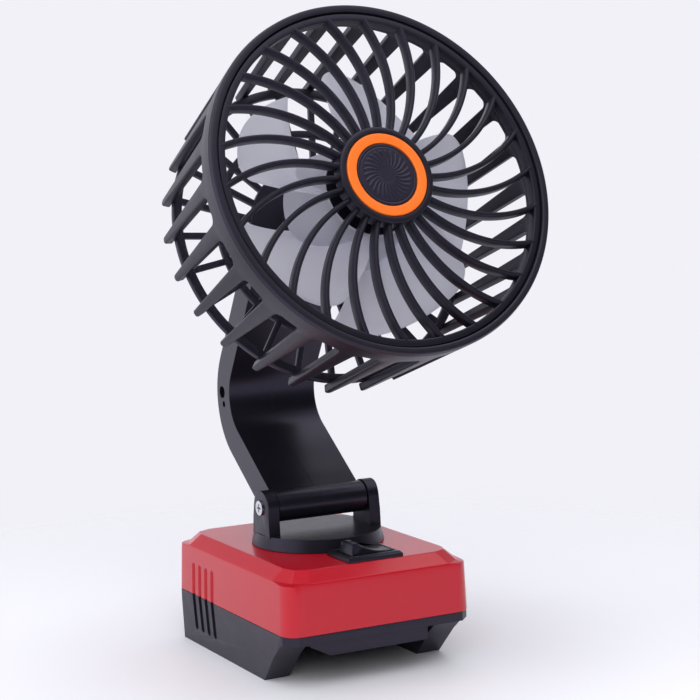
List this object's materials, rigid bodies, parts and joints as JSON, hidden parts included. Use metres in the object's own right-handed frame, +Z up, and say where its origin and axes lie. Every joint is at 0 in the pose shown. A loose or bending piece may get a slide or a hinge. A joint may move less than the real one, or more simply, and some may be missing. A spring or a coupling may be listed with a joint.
{
  "type": "cordless jobsite fan",
  "caption": "Small cordless fan: round caged head with curved grille spokes on a bent folding arm, turntable and rocker switch, over a base that slides onto a tool battery.",
  "frame": {"origin": "middle of the base's footprint, on the surface that it stands on", "axes": "+Z up, -Y the front where the air leaves, +X to the right seen from the front"},
  "size_m": [0.1366, 0.1407, 0.2516],
  "materials": {
    "red_shell": "satin",
    "black_shell": "fine texture",
    "black_frame": "satin",
    "black_arm": "satin",
    "black_cage": "satin",
    "black_grille": "satin",
    "black_cap": "satin",
    "orange_ring": "satin",
    "frosted_blade": "frosted translucent",
    "black_switch": "semi-gloss",
    "black_block": "matt",
    "zinc_screw": "zinc plated",
    "steel": "plated",
    "brass": "bright",
    "copper": "enamelled",
    "circuit_board": "solder mask",
    "board_black": "matt",
    "nylon": "matt",
    "magnet": "sintered",
    "red_wire": "matt",
    "black_wire": "matt"
  },
  "bodies": {
    "base": {"base_lower_shell": "black_shell", "base_upper_shell": "red_shell", "base_screws": "zinc_screw", "terminal_block": "black_block", "terminal_blades": "brass", "battery_leads": "red_wire", "control_board": "circuit_board", "board_parts": "board_black", "switch_housing": "black_switch", "switch_tabs": "brass", "turntable_washer": "nylon"},
    "turntable": {"turntable": "black_frame", "turntable_retainer": "zinc_screw", "turntable_screws": "zinc_screw", "hinge_bolt": "zinc_screw", "hinge_nut": "zinc_screw"},
    "arm": {"arm_left_half": "black_arm", "arm_right_half": "black_arm", "arm_screws": "zinc_screw", "arm_lead": "black_wire", "hinge_washers": "nylon", "pivot_washers": "nylon"},
    "head": {"head_bracket": "black_frame", "bracket_screws": "zinc_screw", "pivot_bolt": "zinc_screw", "pivot_nut": "zinc_screw", "rear_cage": "black_cage", "front_grille": "black_grille", "accent_ring": "orange_ring", "centre_cap": "black_cap", "motor_can": "steel", "motor_end_cap": "black_block", "motor_magnets": "magnet", "motor_brushes": "brass", "motor_bushings": "brass"},
    "rotor": {"impeller": "frosted_blade", "impeller_cap": "black_cap", "motor_armature": "steel", "motor_windings": "copper", "motor_commutator": "brass", "motor_shaft": "steel"},
    "rocker": {"switch_rocker": "black_switch"}
  },
  "joints": [
    {"name": "turntable_swivel", "type": "hinge", "parent": "base", "child": "turntable", "pos_m": [0, 0, 0.0447], "axis": [0, 0, 1], "range_deg": [-175, 175]},
    {"name": "arm_fold", "type": "hinge", "parent": "turntable", "child": "arm", "pos_m": [0, 0, 0.0602], "axis": [1, 0, 0], "range_deg": [-30, 40]},
    {"name": "head_tilt", "type": "hinge", "parent": "arm", "child": "head", "pos_m": [0, 0.01375, 0.1572], "axis": [1, 0, 0], "range_deg": [-65, 25]},
    {"name": "rotor_spin", "type": "hinge", "parent": "head", "child": "rotor", "pos_m": [0, -0.06227, 0.18899], "axis": [0, -0.9225, 0.3859], "continuous": true},
    {"name": "switch_rock", "type": "hinge", "parent": "base", "child": "rocker", "pos_m": [0.0013, -0.0365, 0.0449], "axis": [0, 1, 0], "range_deg": [-22, 0]}
  ]
}
